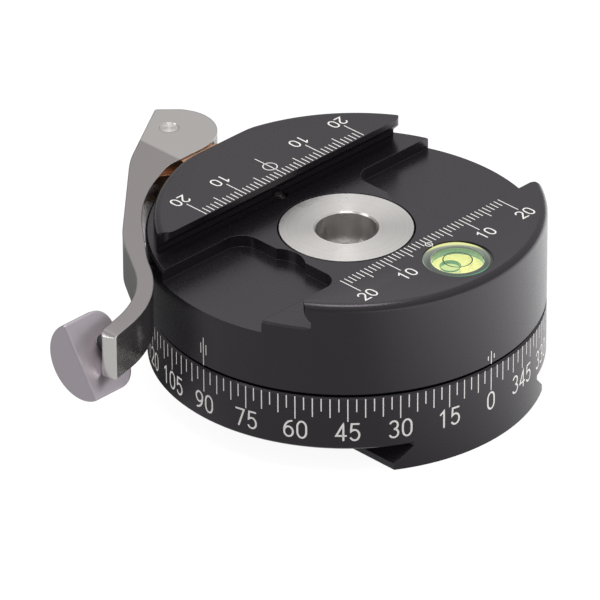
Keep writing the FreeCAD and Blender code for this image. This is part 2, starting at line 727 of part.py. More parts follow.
def clamp_body():
    """Upper body: deck with the fixed jaw, pockets, bearing bores and the rear notch."""
    deck = cylinder("deck_block", BODY_D, size("deck_height"), z=DECK_BOTTOM)
    levels = (DECK_BOTTOM.value, DECK_TOP.value)
    deck = rounded("deck_bevelled", deck, size("rim_bevel"),
                   lambda edge: any(is_circle_at(edge, BODY_R.value, level) for level in levels),
                   "Part::Chamfer")
    block = fuse("clamp_block", deck, fixed_jaw())
    washer_seat = cylinder("washer_seat", CAVITY_INNER_D, WASHER_TOP - DECK_BOTTOM + 1,
                           z=DECK_BOTTOM - 1)
    drum_seat = tube("drum_seat", DRUM_D + FIT * 5, FLANGE_INNER_D - FIT * 5,
                     DRUM_TOP - DECK_BOTTOM + 1, z=DECK_BOTTOM - 1)
    bushing_bore = cylinder("bushing_bore", BUSHING_D + FIT, REACH, z=DECK_BOTTOM - 1)
    flange_bore = cylinder("flange_bore", size("hub_flange_diameter") + size("hub_gap") * 2, REACH,
                           z=SHOULDER_Z)
    pockets = [pocket("right_pocket", 1), pocket("left_pocket", -1)]
    half_notch = size("skirt_width") / 2 + size("notch_clearance")
    notch = box("skirt_notch", -half_notch, half_notch,
                size("skirt_front_distance") - size("notch_clearance"), REACH,
                SKIRT_BOTTOM - size("notch_clearance"), DECK_TOP + 1)
    bar_bore = cylinder("bar_bore", size("bar_diameter") + FIT, REACH,
                        y=size("bar_start") - size("fixed_clearance"), z=BAR_Z, along="Y")
    set_hole = cylinder("set_screw_hole", size("set_screw_diameter") + FIT, REACH,
                        y=size("set_screw_distance"), z=BAR_Z)
    level_seat = cylinder("level_seat", size("level_seat_diameter"), REACH,
                          y=-size("level_distance"), z=JAW_TOP - size("level_seat_depth"))
    guide_holes = []
    for side in (-1, 1):
        guide_holes.append(cylinder("guide_hole_%d" % (side + 2), size("guide_pin_diameter") + FIT, REACH,
                                    x=GUIDE_X * side, y=size("guide_pin_start") - size("fixed_clearance"),
                                    z=GUIDE_Z, along="Y"))
        guide_holes.append(cylinder("spring_hole_%d" % (side + 2), size("spring_outer_diameter") + FIT * 5,
                                    REACH, x=GUIDE_X * side, y=spring_start(), z=GUIDE_Z, along="Y"))
    keep("clamp_body", cut("clamp_solid", block, washer_seat, drum_seat, bushing_bore, flange_bore,
                           notch, bar_bore, set_hole, level_seat, *pockets, *guide_holes,
                           *drum_holes("body_drum_hole", DECK_BOTTOM)))


def spring_start():
    return size("skirt_front_distance") - size("spring_length")


def bubble_level():
    """Round bubble level: clear cup, its base disc and the fluid round the bubble."""
    y = -size("level_distance")
    seat = JAW_TOP - size("level_seat_depth")
    top = JAW_TOP - size("level_vial_drop")
    cavity_d = size("level_cavity_diameter")
    cavity_top = top - size("level_window_thickness")
    base = size("level_base_thickness")
    gap = size("fixed_clearance")
    cup = cylinder("vial_block", size("level_vial_diameter"), top - seat, y=y, z=seat)
    hollow = cylinder("vial_hollow", cavity_d, cavity_top - seat, y=y, z=seat)
    keep("level_vial", cut("vial_solid", cup, hollow))
    keep("level_base", cylinder("level_base_disc", cavity_d - FIT, base, y=y, z=seat))
    fluid = cylinder("fluid_block", cavity_d - FIT, cavity_top - seat - base - gap * 2, y=y,
                     z=seat + base + gap)
    bubble = doc.addObject("Part::Sphere", "bubble_space")
    bind(bubble, "Radius", size("level_bubble_diameter") / 2)
    bind_base(bubble, -size("level_bubble_offset"), y, cavity_top - size("level_bubble_diameter") / 8)
    keep("level_fluid", cut("fluid_solid", fluid, bubble))


def moving_jaw():
    """Rear jaw: a round-edged plate with a lip, and a skirt that slides in the body's notch."""
    lip = size("moving_lip_distance")
    inset = size("jaw_inset")
    disc = cylinder("moving_jaw_disc", BODY_D, JAW_TOP - JAW_BOTTOM, y=-inset, z=JAW_BOTTOM)
    rear = box("moving_jaw_rear", -REACH, REACH, lip, REACH, JAW_BOTTOM, JAW_TOP)
    blank = common("moving_jaw_blank", disc, rear)
    tips = rounded("moving_jaw_tips", blank, size("moving_tip_radius"),
                   lambda edge: is_tip_edge(edge, lip.value))
    dome = rounded("moving_jaw_dome", disc, size("top_edge_radius"),
                   lambda edge: is_circle_at(edge, BODY_R.value, JAW_TOP.value))
    plate = common("moving_jaw_top", tips, dome)
    half = size("skirt_width") / 2
    skirt_box = box("skirt_box", -half, half, size("skirt_front_distance"), REACH, SKIRT_BOTTOM,
                    JAW_BOTTOM + 1)
    skirt_round = cylinder("skirt_round", BODY_D, JAW_TOP - SKIRT_BOTTOM - 1, y=-inset, z=SKIRT_BOTTOM)
    skirt = common("skirt", skirt_box, skirt_round)
    flat = box("jaw_flat_cut", -REACH, REACH, JAW_FLAT, REACH, SKIRT_BOTTOM - 1, JAW_TOP + 1)
    undercut = lip_undercut("moving_undercut", lip, 1)
    guides = [cylinder("jaw_guide_%d" % (side + 2), size("guide_pin_diameter") + RUN,
                       size("guide_pin_end") - size("skirt_front_distance") + 1 + size("notch_clearance"),
                       x=GUIDE_X * side, y=size("skirt_front_distance") - 1, z=GUIDE_Z, along="Y")
              for side in (-1, 1)]
    screws = pad_screw_shapes("jaw_pad_hole", FIT, JAW_FLAT - size("pad_screw_depth")
                              - size("fixed_clearance"), False)
    keep("moving_jaw", cut("moving_jaw_solid", fuse("moving_jaw_block", plate, skirt), flat, undercut,
                           bar_passage("jaw_bar_passage"), *guides, *screws))


def bar_passage(name):
    """Upright slot that lets the draw bar through the skirt and the wear pad."""
    gap = size("bar_slot_clearance")
    width = size("bar_diameter") + gap * 2
    low = BAR_Z - width / 2
    high = EYE_HIGH + gap
    start = size("skirt_front_distance") - 1
    round_low = cylinder(name + "_round", width, REACH, y=start, z=BAR_Z, along="Y")
    straight = box(name + "_straight", -width / 2, width / 2, start, start + REACH, low + width / 2, high)
    return fuse(name, round_low, straight)


def pad_screw_shapes(name, extra, start, with_heads):
    """The two countersunk screws of the wear pad, or the holes for them."""
    diameter = size("pad_screw_diameter") + extra
    head_d = size("pad_screw_head_diameter") + extra
    head_h = size("pad_screw_head_height")
    shapes = []
    for side in (-1, 1):
        x = size("pad_screw_spacing") / 2 * side
        shank = cylinder("%s_shank_%d" % (name, side + 2), diameter, PAD_FACE - start, x=x, y=start,
                         z=BAR_Z, along="Y")
        shapes.append(shank)
        if with_heads:
            shapes.append(cone("%s_head_%d" % (name, side + 2), diameter, head_d, head_h, x=x,
                               y=PAD_FACE - head_h, z=BAR_Z, along="Y"))
    return shapes


def wear_pad():
    """Bronze pad on the jaw's rear flat that the cam presses on, with its two screws."""
    left = size("pad_left_reach")
    top = JAW_TOP - size("pad_top_drop")
    shelf = SKIRT_BOTTOM + size("pad_shelf_height")
    wide = box("pad_wide", -left, left, JAW_FLAT, PAD_FACE, SKIRT_BOTTOM, shelf)
    tall = box("pad_tall", -size("pad_tall_left_reach"), size("pad_tall_right_reach"), JAW_FLAT,
               PAD_FACE, shelf, top)
    holes = pad_screw_shapes("pad_hole", FIT, JAW_FLAT - 1, True)
    keep("thrust_pad", cut("pad_solid", fuse("pad_block", wide, tall), bar_passage("pad_bar_passage"),
                           *holes))
    start = JAW_FLAT - size("pad_screw_depth")
    trim = box("pad_screw_trim", -REACH, REACH, PAD_FACE - size("fixed_clearance"), REACH,
               SKIRT_BOTTOM, JAW_TOP)
    sockets = [cylinder("pad_screw_socket_%d" % (side + 2), size("pad_screw_diameter") / 2, REACH,
                        x=size("pad_screw_spacing") / 2 * side,
                        y=PAD_FACE - size("pad_screw_head_height"), z=BAR_Z, along="Y")
               for side in (-1, 1)]
    screws = fuse("pad_screw_blanks", *pad_screw_shapes("pad_screw", as_size(0), start, True))
    keep("thrust_pad_screws", cut("pad_screw_solid", screws, trim, *sockets))


def draw_bar():
    """Bar from the deck to the lever's pin: round rod, flat neck and eye, with its set screw."""
    diameter = size("bar_diameter")
    neck_start = PIN_Y - size("cam_radius") - size("eye_diameter") / 2
    rod = cylinder("bar_rod", diameter, neck_start + 1 - size("bar_start"), y=size("bar_start"),
                   z=BAR_Z, along="Y")
    neck = box("bar_neck", -diameter / 2, diameter / 2, neck_start, PIN_Y, EYE_LOW, EYE_HIGH)
    eye = cylinder("bar_eye", size("eye_diameter"), size("eye_height"), y=PIN_Y, z=EYE_LOW)
    hole = cylinder("bar_eye_hole", size("pin_diameter") + RUN, REACH, y=PIN_Y, z=EYE_LOW - 1)
    screw_y = size("set_screw_distance")
    tip_z = BAR_Z + diameter / 2 - size("set_screw_tip_depth")
    dimple = cylinder("bar_dimple", size("set_screw_tip_diameter") + FIT, REACH, y=screw_y, z=tip_z)
    flat_z = BAR_Z + diameter / 2 - size("set_screw_tip_depth") / 2
    seat = cylinder("bar_screw_seat", size("set_screw_diameter") + FIT, REACH, y=screw_y, z=flat_z)
    keep("draw_bar", cut("bar_solid", fuse("bar_block", rod, neck, eye), hole, dimple, seat))
    top = DECK_TOP - size("set_screw_recess")
    tip = cylinder("set_screw_tip", size("set_screw_tip_diameter"), top - tip_z, y=screw_y, z=tip_z)
    barrel = cylinder("set_screw_barrel", size("set_screw_diameter"), top - flat_z, y=screw_y, z=flat_z)
    socket = cylinder("set_screw_socket", size("set_screw_socket_diameter"), REACH, y=screw_y,
                      z=top - size("set_screw_socket_depth"))
    keep("draw_bar_set_screw", cut("set_screw_solid", fuse("set_screw_blank", tip, barrel), socket))


def jaw_guides():
    """Two guide pins pressed into the body, and the springs on them that open the jaw."""
    length = size("guide_pin_end") - size("guide_pin_start")
    pins = [cylinder("guide_pin_%d" % (side + 2), size("guide_pin_diameter"), length,
                     x=GUIDE_X * side, y=size("guide_pin_start"), z=GUIDE_Z, along="Y")
            for side in (-1, 1)]
    keep("guide_pins", fuse("guide_pin_pair", *pins))
    coils = []
    for side in (-1, 1):
        coil = doc.addObject("Part::Feature", "jaw_spring_%d" % (side + 2))
        coil.Shape = coil_shape()
        coil.Placement = FreeCAD.Placement(
            Vector(GUIDE_X.value * side, spring_start().value, GUIDE_Z.value), TURNS["Y"])
        coils.append(coil)
    keep("jaw_springs", fuse("jaw_spring_pair", *coils))


def coil_shape():
    """An open coil along Z that fills the spring's length, with its wire round."""
    wire = size("spring_wire_diameter").value
    radius = (size("spring_outer_diameter").value - wire) / 2
    turns = size("spring_turns").value
    rise = size("spring_length").value - wire - 2 * size("fixed_clearance").value
    helix = Part.makeHelix(rise / turns, rise, radius)
    helix.translate(Vector(0, 0, wire / 2 + size("fixed_clearance").value))
    start = helix.Edges[0].valueAt(helix.Edges[0].FirstParameter)
    heading = helix.Edges[0].tangentAt(helix.Edges[0].FirstParameter)
    circle = Part.Wire(Part.makeCircle(wire / 2, start, heading))
    return Part.Wire(helix.Edges).makePipeShell([circle], True, True)


def polar(extra, angle):
    reach = BODY_R.value + extra
    return Vector(reach * math.cos(math.radians(angle)), reach * math.sin(math.radians(angle)), 0)


def cam_point(angle):
    """A point of the cam whose normal points at an angle, with its radius falling evenly."""
    fall = size("jaw_travel").value / math.radians(size("lever_angle").value)
    turned = math.radians(angle + 90)
    reach = size("cam_radius").value - fall * turned
    normal = Vector(math.cos(math.radians(angle)), math.sin(math.radians(angle)), 0)
    along = Vector(-normal.y, normal.x, 0)
    return Vector(0, PIN_Y.value, 0) + normal * reach - along * fall


def meeting_point(point, heading, other, other_heading):
    """Where two lines in the plan meet, each given by a point and a heading."""
    gap = other - point
    span = heading.x * other_heading.y - heading.y * other_heading.x
    return point + heading * ((gap.x * other_heading.y - gap.y * other_heading.x) / span)


def rounded_chain(corners):
    """Lines through the corners, each joined to the next by an arc of its own radius."""
    edges = []
    last = corners[0][0]
    for index in range(1, len(corners) - 1):
        before, (corner, radius), after = corners[index - 1][0], corners[index], corners[index + 1][0]
        inward = (before - corner).normalize()
        outward = (after - corner).normalize()
        half = inward.getAngle(outward) / 2
        back = radius / math.tan(half)
        start = corner + inward * back
        end = corner + outward * back
        middle_line = (inward + outward).normalize()
        middle = corner + middle_line * (radius / math.sin(half) - radius)
        if (start - last).Length > 0.001:
            edges.append(Part.LineSegment(last, start).toShape())
        edges.append(Part.Arc(start, middle, end).toShape())
        last = end
    edges.append(Part.LineSegment(last, corners[-1][0]).toShape())
    return edges


def lever_outline():
    """Plan of the lever: cam, rear flat, arm along the wall, bend, tip and back to the cam."""
    open_normal = size("lever_angle").value - 90
    cam_points = [cam_point(-90 + size("lever_angle").value * step / CAM_POINT_COUNT)
                  for step in range(CAM_POINT_COUNT + 1)]
    cam = Part.BSplineCurve()
    last_heading = Vector(-math.sin(math.radians(open_normal)), math.cos(math.radians(open_normal)), 0)
    cam.interpolate(Points=cam_points, InitialTangent=Vector(1, 0, 0), FinalTangent=last_heading)
    first_arm = polar(*ARM_OUTER_CORNERS[0][:2])
    back_heading = Vector(math.cos(math.radians(32.1)), math.sin(math.radians(32.1)), 0)
    rear_corner = meeting_point(cam_points[-1], last_heading, first_arm, back_heading)
    wrap_start, wrap_end = ARM_WRAP_ANGLES
    wrap_radius = BODY_R.value + size("arm_gap").value
    half_wrap = (wrap_start - wrap_end) / 2
    wrap_extra = wrap_radius / math.cos(math.radians(half_wrap)) - BODY_R.value
    wrap_corner = polar(wrap_extra, wrap_end + half_wrap)
    flat_y = cam_points[0].y
    blend_heading = Vector(math.cos(math.radians(wrap_end - 90)), math.sin(math.radians(wrap_end - 90)), 0)
    flat_corner = meeting_point(wrap_corner, blend_heading, Vector(0, flat_y, 0), Vector(1, 0, 0))
    corners = [(cam_points[-1], 0), (rear_corner, size("lever_corner_radius").value)]
    corners += [(polar(extra, angle), radius) for extra, angle, radius in ARM_OUTER_CORNERS]
    corners += [(polar(extra, angle), radius) for extra, angle, radius in ARM_INNER_CORNERS]
    corners += [(wrap_corner, wrap_radius), (flat_corner, ARM_BLEND_RADIUS), (cam_points[0], 0)]
    return Part.Wire([cam.toShape()] + rounded_chain(corners))


def lever_slot():
    """Slot in the head that clears the draw bar's neck and eye over the whole swing."""
    reach = size("cam_radius").value * 2
    half = size("bar_diameter").value / 2 + size("bar_slot_clearance").value
    pin = Vector(0, PIN_Y.value, 0)
    swing = math.radians(size("lever_angle").value - 90)
    along = Vector(math.cos(swing), math.sin(swing), 0)
    across = Vector(-along.y, along.x, 0)
    corners = [pin + Vector(-half, 0, 0), pin + Vector(-half, -reach, 0), pin + Vector(reach, -reach, 0),
               pin + along * reach, pin + along * reach + across * half, pin + across * half]
    gap = size("eye_side_clearance").value
    low = EYE_LOW.value - gap
    height = size("eye_height").value + 2 * gap
    outline = Part.makePolygon(corners + corners[:1])
    sector = Part.Face(outline).extrude(Vector(0, 0, height))
    sector.translate(Vector(0, 0, low))
    radius = size("eye_diameter").value / 2 + size("slot_swing_clearance").value
    return sector.fuse(Part.makeCylinder(radius, height, pin + Vector(0, 0, low)))


def lever_shape():
    """The lever: plan outline raised to its height, tip eased, head slotted and drilled."""
    low = LEVER_BOTTOM.value
    high = LEVER_TOP.value
    face = Part.Face(lever_outline())
    solid = face.extrude(Vector(0, 0, high - low))
    solid.translate(Vector(0, 0, low))
    tip_x = polar(*ARM_OUTER_CORNERS[-1][:2]).x
    reach = size("lever_tip_radius").value * 2
    tip_box = Part.makeBox(reach * 2, high - low, high - low,
                           Vector(tip_x - reach, (low - high) / 2, (low + high) / 2))
    easing = tip_box.cut(tip_rounding(tip_x, high))
    solid = solid.cut(easing)
    pin_hole = Part.makeCylinder((size("pin_diameter").value + FIT.value) / 2, high - low + 2,
                                 Vector(0, PIN_Y.value, low - 1))
    screw_hole = thumb_screw_shape(FIT.value, 1.0)
    return solid.cut([lever_slot(), pin_hole, screw_hole])


def tip_rounding(tip_x, high):
    """The space kept at the tip's top: everything under a round that rolls over the end."""
    radius = size("lever_tip_radius").value
    span = size("lever_height").value * 2
    inner = Part.makeBox(span, span, span, Vector(tip_x + radius, -span / 2, high - span / 2))
    lower = Part.makeBox(span, span, span, Vector(tip_x - span / 2, -span / 2, high - span - radius))
    roll = Part.makeCylinder(radius, span, Vector(tip_x + radius, -span / 2, high - radius),
                             Vector(0, 1, 0))
    return inner.fuse([lower, roll])


def thumb_screw_shape(extra, spare):
    """The screw from the thumb pad's back into the lever's tip, or the space for it."""
    x = -(BODY_R.value + size("thumb_screw_reach").value)
    z = JAW_TOP.value - size("thumb_screw_drop").value - size("lever_height").value / 2
    back = thumb_back_y()
    diameter = size("thumb_screw_diameter").value + extra
    head_d = size("thumb_screw_head_diameter").value + extra
    head_h = size("thumb_screw_head_height").value
    end = size("thumb_screw_end").value - spare * size("fixed_clearance").value
    shank = Part.makeCylinder(diameter / 2, back - end, Vector(x, end, z), Vector(0, 1, 0))
    head = Part.makeCone(diameter / 2, head_d / 2, head_h, Vector(x, back - head_h, z), Vector(0, 1, 0))
    if not spare:
        return shank.fuse(head)
    clear = Part.makeCylinder(head_d / 2, 10, Vector(x, back, z), Vector(0, 1, 0))
    return shank.fuse([head, clear])


def thumb_centre():
    x = -(BODY_R.value + size("thumb_end_reach").value)
    return Vector(x, size("thumb_centre_offset").value, LEVER_TOP.value - size("thumb_centre_drop").value)


def thumb_back_y():
    return thumb_centre().y + size("thumb_radius").value - 1.6


def thumb_pad_shape(lever):
    """Half-round pad on the lever's tip, flat towards the finger, with two rounded corners."""
    centre = thumb_centre()
    radius = size("thumb_radius").value
    length = size("thumb_length").value
    tilt = math.radians(size("thumb_tilt").value)
    chord = Vector(0, math.sin(tilt), math.cos(tilt))
    normal = Vector(0, -math.cos(tilt), math.sin(tilt))
    face = size("thumb_face_distance").value
    half_chord = math.sqrt(radius ** 2 - face ** 2)
    low = centre + normal * face - chord * half_chord
    high = centre + normal * face + chord * half_chord
    back = centre - normal * radius
    half_disc = Part.Wire([Part.Arc(low, back, high).toShape(), Part.LineSegment(high, low).toShape()])
    block = Part.Face(half_disc).extrude(Vector(length, 0, 0))
    corner = size("thumb_corner_radius").value
    across = Vector(1, 0, 0)
    start = low
    rise = high - low
    corners = [(start - across, 0), (start + across * length, corner),
               (start + across * length + rise, corner), (start - across + rise, 0)]
    edges = rounded_chain(corners)
    edges.append(Part.LineSegment(corners[-1][0], corners[0][0]).toShape())
    window = Part.Face(Part.Wire(edges))
    window.translate(normal * 2)
    block = block.common(window.extrude(normal * (-radius - 4)))
    eased = [edge for edge in block.Edges
             if all(abs((vertex.Point - low).dot(normal)) < 0.001 for vertex in edge.Vertexes)
             or all(abs(vertex.Point.x - centre.x) < 0.001 for vertex in edge.Vertexes)]
    block = block.makeFillet(size("thumb_edge_radius").value, eased)
    return block.cut([lever, thumb_screw_shape(FIT.value, 1.0)])


def lever_pieces():
    """Lever, its pivot pin, the thumb pad and the pad's screw."""
    lever = doc.addObject("Part::Feature", "lever_solid")
    lever.Shape = lever_shape()
    keep("lever", lever)
    height = size("lever_height") - size("pin_recess")
    keep("pivot_pin", cylinder("pivot_pin_rod", size("pin_diameter"), height, y=PIN_Y, z=LEVER_BOTTOM))
    pad = doc.addObject("Part::Feature", "thumb_pad_solid")
    pad.Shape = thumb_pad_shape(lever.Shape)
    keep("thumb_pad", pad)
    screw = doc.addObject("Part::Feature", "thumb_pad_screw_solid")
    screw.Shape = thumb_screw_shape(0.0, 0.0)
    keep("thumb_pad_screw", screw)


def check_document():
    """Stop with a plain message if any object failed or any sub-part is not a sound shape."""
    doc.recompute()
    for thing in doc.Objects:
        if "Invalid" in thing.State or "Error" in thing.State:
            raise RuntimeError("%s is in a failed state" % thing.Name)
    for name, thing in nodes.items():
        if thing.Shape.isNull() or not thing.Shape.isValid() or not thing.Shape.Solids:
            raise RuntimeError("%s is not a sound solid" % name)


def write_parts():
    os.makedirs("parts", exist_ok=True)
    for name, thing in nodes.items():
        thing.Shape.exportStep("parts/%s.step" % name)
        print("%-22s solids %d  volume %.2f" % (name, len(thing.Shape.Solids), thing.Shape.Volume))


base_housing()
spindle_hub()
hub_fastening()
bearings()
brake_ring()
pan_lock()
clamp_body()
bubble_level()
moving_jaw()
wear_pad()
draw_bar()
jaw_guides()
lever_pieces()
check_document()
write_parts()
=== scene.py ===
"""Looks of the panoramic clamp head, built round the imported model. Sizes in metres."""
import json
import math

import bpy
from mathutils import Matrix, Vector


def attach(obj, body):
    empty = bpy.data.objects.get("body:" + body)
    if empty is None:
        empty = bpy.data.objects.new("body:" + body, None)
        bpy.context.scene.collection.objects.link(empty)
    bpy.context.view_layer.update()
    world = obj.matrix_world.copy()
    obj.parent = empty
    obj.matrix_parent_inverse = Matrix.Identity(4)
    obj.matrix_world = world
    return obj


MM = 0.001

# Surfaces that carry marks
BODY_RADIUS = 36.0 * MM
JAW_TOP = 34.2 * MM
FIXED_LIP = -18.1 * MM
MOVING_LIP = 15.1 * MM
PAINT_LIFT = 0.012 * MM

# Millimetre scales; the marks' lengths go by the spacing that they stand for
MM_SCALE_REACH = 20
MM_MARK_WIDTH = 0.2 * MM
MM_MARK_INSET = 0.15 * MM
MM_MARK_LENGTHS = {1: 2.1 * MM, 5: 3.3 * MM, 10: 5.1 * MM}
MM_DIGIT_HEIGHT = 2.35 * MM
MM_DIGIT_STROKE = 0.3 * MM
MM_DIGIT_CENTRE = 6.75 * MM

# Zero mark of each scale: its length, then its ring's distance from the marks' start and radius
NEAR_ZERO = (3.3 * MM, 2.3 * MM, 0.62 * MM)
FAR_ZERO = (8.0 * MM, 4.06 * MM, 1.3 * MM)

# Degree ring
DEGREE_STEP = 2.5
DEGREE_MARK_WIDTH = 0.21 * MM
DEGREE_MARK_TOP = 15.2 * MM
DEGREE_MARK_LENGTHS = {DEGREE_STEP: 2.6 * MM, 5: 3.85 * MM, 15: 4.58 * MM}
DEGREE_DIGIT_TOP = 10.15 * MM
DEGREE_DIGIT_HEIGHT = 3.35 * MM
DEGREE_DIGIT_STROKE = 0.36 * MM
DEGREE_DIGIT_NARROWING = 0.86

# Index marks: degrees, then in mm the long line's ends, the short lines' offset and their ends
INDEX_MARKS = [(0, 16.1, 18.7, 0.75, 17.0, 17.9), (90, 16.1, 21.76, 0.65, 18.4, 20.5)]

# How strokes become faces
STROKE_SPAN = 0.4 * MM
LEAST_MITRE = 0.45
CAP_STEPS = 8
RING_STEPS = 40
SHORTEST_HEADING = 1e-9

# Bubble level
LEVEL_Y = -27.6 * MM
LEVEL_TOP = 33.95 * MM
LEVEL_RING_RADIUS = 2.6 * MM
LEVEL_RING_WIDTH = 0.23 * MM
CHAMBER_TOP = 32.95 * MM
CHAMBER_RADIUS = 4.75 * MM
BUBBLE_X = -1.85 * MM
BUBBLE_RADIUS = 1.85 * MM
BUBBLE_EDGE_FADE = 0.01 * MM
# Sizes of the bubble's painted outline and of its painted green glow
BUBBLE_OUTLINE = 0.10 * MM
BUBBLE_OUTLINE_FADE = 0.06 * MM
BUBBLE_OUTLINE_DEPTH = 0.2 * MM
BUBBLE_OUTLINE_RISE = 0.1 * MM
BUBBLE_GREEN_DEPTH = 0.65 * MM
BUBBLE_GREEN_FADE = 0.15 * MM
WINDOW_COLOUR = (0.96, 1.0, 0.93, 1)
# The vial's walls glow a painted grey
VIAL_WALL_PAINTED_GLOW = (0.15, 0.19, 0.14, 1)
FLUID_COLOUR = (1.0, 1.0, 0.86, 1)
# Painted light: the fluid's walls are painted dark green and glow green, and the bubble's outline
# and pale glow are painted
FLUID_WALL_PAINTED_GREEN = (0.03, 0.12, 0.05, 1)
FLUID_WALL_PAINTED_GLOW = (0.07, 0.22, 0.11, 1)
BUBBLE_PAINTED_OUTLINE_COLOUR = (0.22, 0.36, 0.16, 1)
BUBBLE_PAINTED_PALE_GLOW = (0.68, 0.76, 0.33, 1)

# Where a face counts as a wall and where as level, by how far its normal stands upright
LEVEL_LIMITS = (0.25, 0.75)
LEVER_LEVEL_LIMITS = (0.5, 0.9)

# Painted glints and one painted dark crescent on the level's rim, which glow at fixed places, in
# mm: a centre beside the level's, the distances from that centre where the glint starts and where
# it is full, and its colour. A later one covers the earlier ones. The rim under them is painted
# dark and glows dim
RIM_PAINTED_SHADE = (0.03, 0.034, 0.03, 1)
RIM_PAINTED_DIM_GLOW = (0.05, 0.06, 0.05, 1)
RIM_FADE = 0.1 * MM
RIM_PAINTED_GLINTS = [
    ((-1.6, -1.6), 5.4, 7.2, (0.24, 0.28, 0.22, 1)),
    ((-1.6, -1.6), 7.2, 7.7, (0.84, 0.86, 0.35, 1)),
    ((0.4, 0.06), 6.35, 6.45, (0.42, 0.60, 0.38, 1)),
    ((0.15, 0.57), 6.2, 6.32, (0.05, 0.36, 0.16, 1)),
    ((-0.42, 0.28), 6.28, 6.34, (0, 0, 0, 1)),
]
RIM_PAINTED_GLOW = 0.9

# Where the lever's face round the pivot ends and the painted shade on the arm's face begins, and
# half of how soft that border is
LEVER_SHADE_BORDER_X = -6.9 * MM
LEVER_SHADE_BORDER_BLUR = 0.3 * MM
# The arm's face is a darker grey than the face round the pivot, a painted shade; the walls take a
# lighter grey
LEVER_ARM_PAINTED_SHADE = (0.30, 0.275, 0.275, 1)
LEVER_HEAD_COLOUR = (0.46, 0.44, 0.43, 1)
LEVER_WALL_COLOUR = (0.72, 0.70, 0.68, 1)

# Grain of blasted faces and rings of turned faces
GRAIN_SCALE = 9000
GRAIN_DETAIL = 2.0
GRAIN_DEPTH = 0.004 * MM
GRAIN_STRENGTH = 0.35
TURNED_SCALE = 2500
ROUGHNESS_DETAIL = 4.0
NOISE_LOW, NOISE_HIGH = 0.3, 0.7
BEVEL_SAMPLES = 8

# Smooth shading
SHARP_ANGLE = math.radians(28)
MERGE_DISTANCE = 1e-7

# Surroundings
SKY_DIRECTION = (0.25, -0.25, 1.0)
SKY_START, SKY_END = -0.1, 1.0
SKY_LOW, SKY_HIGH = 0.35, 0.95
FLOOR_SIZE = 6.0
FLOOR_DIRECTION = (0.707, -0.707, 0)
FLOOR_START, FLOOR_END = 0.01, 0.085
FLOOR_LEFT, FLOOR_RIGHT = 0.46, 1.8
FLOOR_SHADE = 0.12
FLOOR_GLOW = 0.93
# A shadow painted into the floor's glow under the lever: its middle, the reach that is fully dark
# and the reach where it has faded
FLOOR_PAINTED_SHADOW = (-0.0325, 0.0495)
FLOOR_PAINTED_SHADOW_RADIUS = 0.028
FLOOR_PAINTED_SHADOW_EDGE = 0.042

# Lamps: name, place, target, side and power in watts
LAMPS = [
    ("overhead", (-0.1, -0.1, 1.3), (0, 0, 0), 0.5, 5.0),
    ("back", (0.5, 0.7, 1.2), (0, 0, 0), 1.0, 2.0),
    ("left", (-1.0, 0.5, 0.7), (0, 0, 0.02), 0.6, 4.0),
]

# Camera
CAMERA_PLACE = Vector((-0.855793, -0.847442, 0.727135))
CAMERA_FORWARD = Vector((0.607261, 0.609759, -0.509340))
CAMERA_RIGHT = Vector((0.706316, -0.707877, -0.005333))
CAMERA_LENS = 466.72
CAMERA_SENSOR = 36.0
CAMERA_NEAR, CAMERA_FAR = 0.05, 20


def arc(centre_x, centre_y, reach_x, reach_y, start, end, steps):
    """Points along part of an ellipse, angles in degrees."""
    points = []
    for step in range(steps + 1):
        angle = math.radians(start + (end - start) * step / steps)
        points.append((centre_x + reach_x * math.cos(angle), centre_y + reach_y * math.sin(angle)))
    return points


# Strokes of each digit in a box one unit high and DIGIT_WIDTH wide; True marks a closed stroke
DIGIT_WIDTH = 0.6
DIGIT_GAP = 0.24
DIGIT_STROKES = {
    "0": [(arc(0.3, 0.64, 0.28, 0.36, 0, 180, 14)
           + arc(0.3, 0.36, 0.28, 0.36, 180, 360, 14), True)],
    "1": [([(0.1, 0.8), (0.33, 1.0), (0.33, 0.0)], False)],
    "2": [(arc(0.3, 0.72, 0.27, 0.28, 165, -35, 14) + [(0.02, 0.0), (0.6, 0.0)], False)],
    "3": [(arc(0.29, 0.755, 0.25, 0.245, 150, -90, 12)
           + arc(0.29, 0.255, 0.28, 0.255, 90, -150, 14), False)],
    "4": [([(0.44, 0.0), (0.44, 1.0), (0.0, 0.27), (0.6, 0.27)], False)],
    "5": [([(0.54, 1.0), (0.11, 1.0), (0.07, 0.54)]
           + arc(0.29, 0.32, 0.29, 0.32, 125, -145, 16), False)],
    "6": [(arc(0.3, 0.3, 0.28, 0.3, 0, 360, 24), True),
          ([(0.5, 0.97)] + arc(0.52, 0.36, 0.5, 0.6, 110, 176, 8), False)],
    "7": [([(0.02, 1.0), (0.58, 1.0), (0.2, 0.0)], False)],
    "8": [(arc(0.3, 0.75, 0.23, 0.25, 0, 360, 20), True),
          (arc(0.3, 0.27, 0.28, 0.27, 0, 360, 22), True)],
    "9": [(arc(0.3, 0.7, 0.28, 0.3, 0, 360, 24), True),
          ([(0.1, 0.03)] + arc(0.08, 0.64, 0.5, 0.6, -70, -4, 8), False)],
}


def densified(points, step):
    """The same stroke with no span longer than a step."""
    dense = [points[0]]
    for start, end in zip(points, points[1:]):
        count = max(1, math.ceil(math.dist(start, end) / step))
        for index in range(1, count + 1):
            part = index / count
            dense.append((start[0] + (end[0] - start[0]) * part,
                          start[1] + (end[1] - start[1]) * part))
    return dense


def heading(start, end):
    """Unit direction between two flat points, or None where they meet."""
    span = Vector((end[0] - start[0], end[1] - start[1]))
    return tuple(span.normalized()) if span.length > SHORTEST_HEADING else None


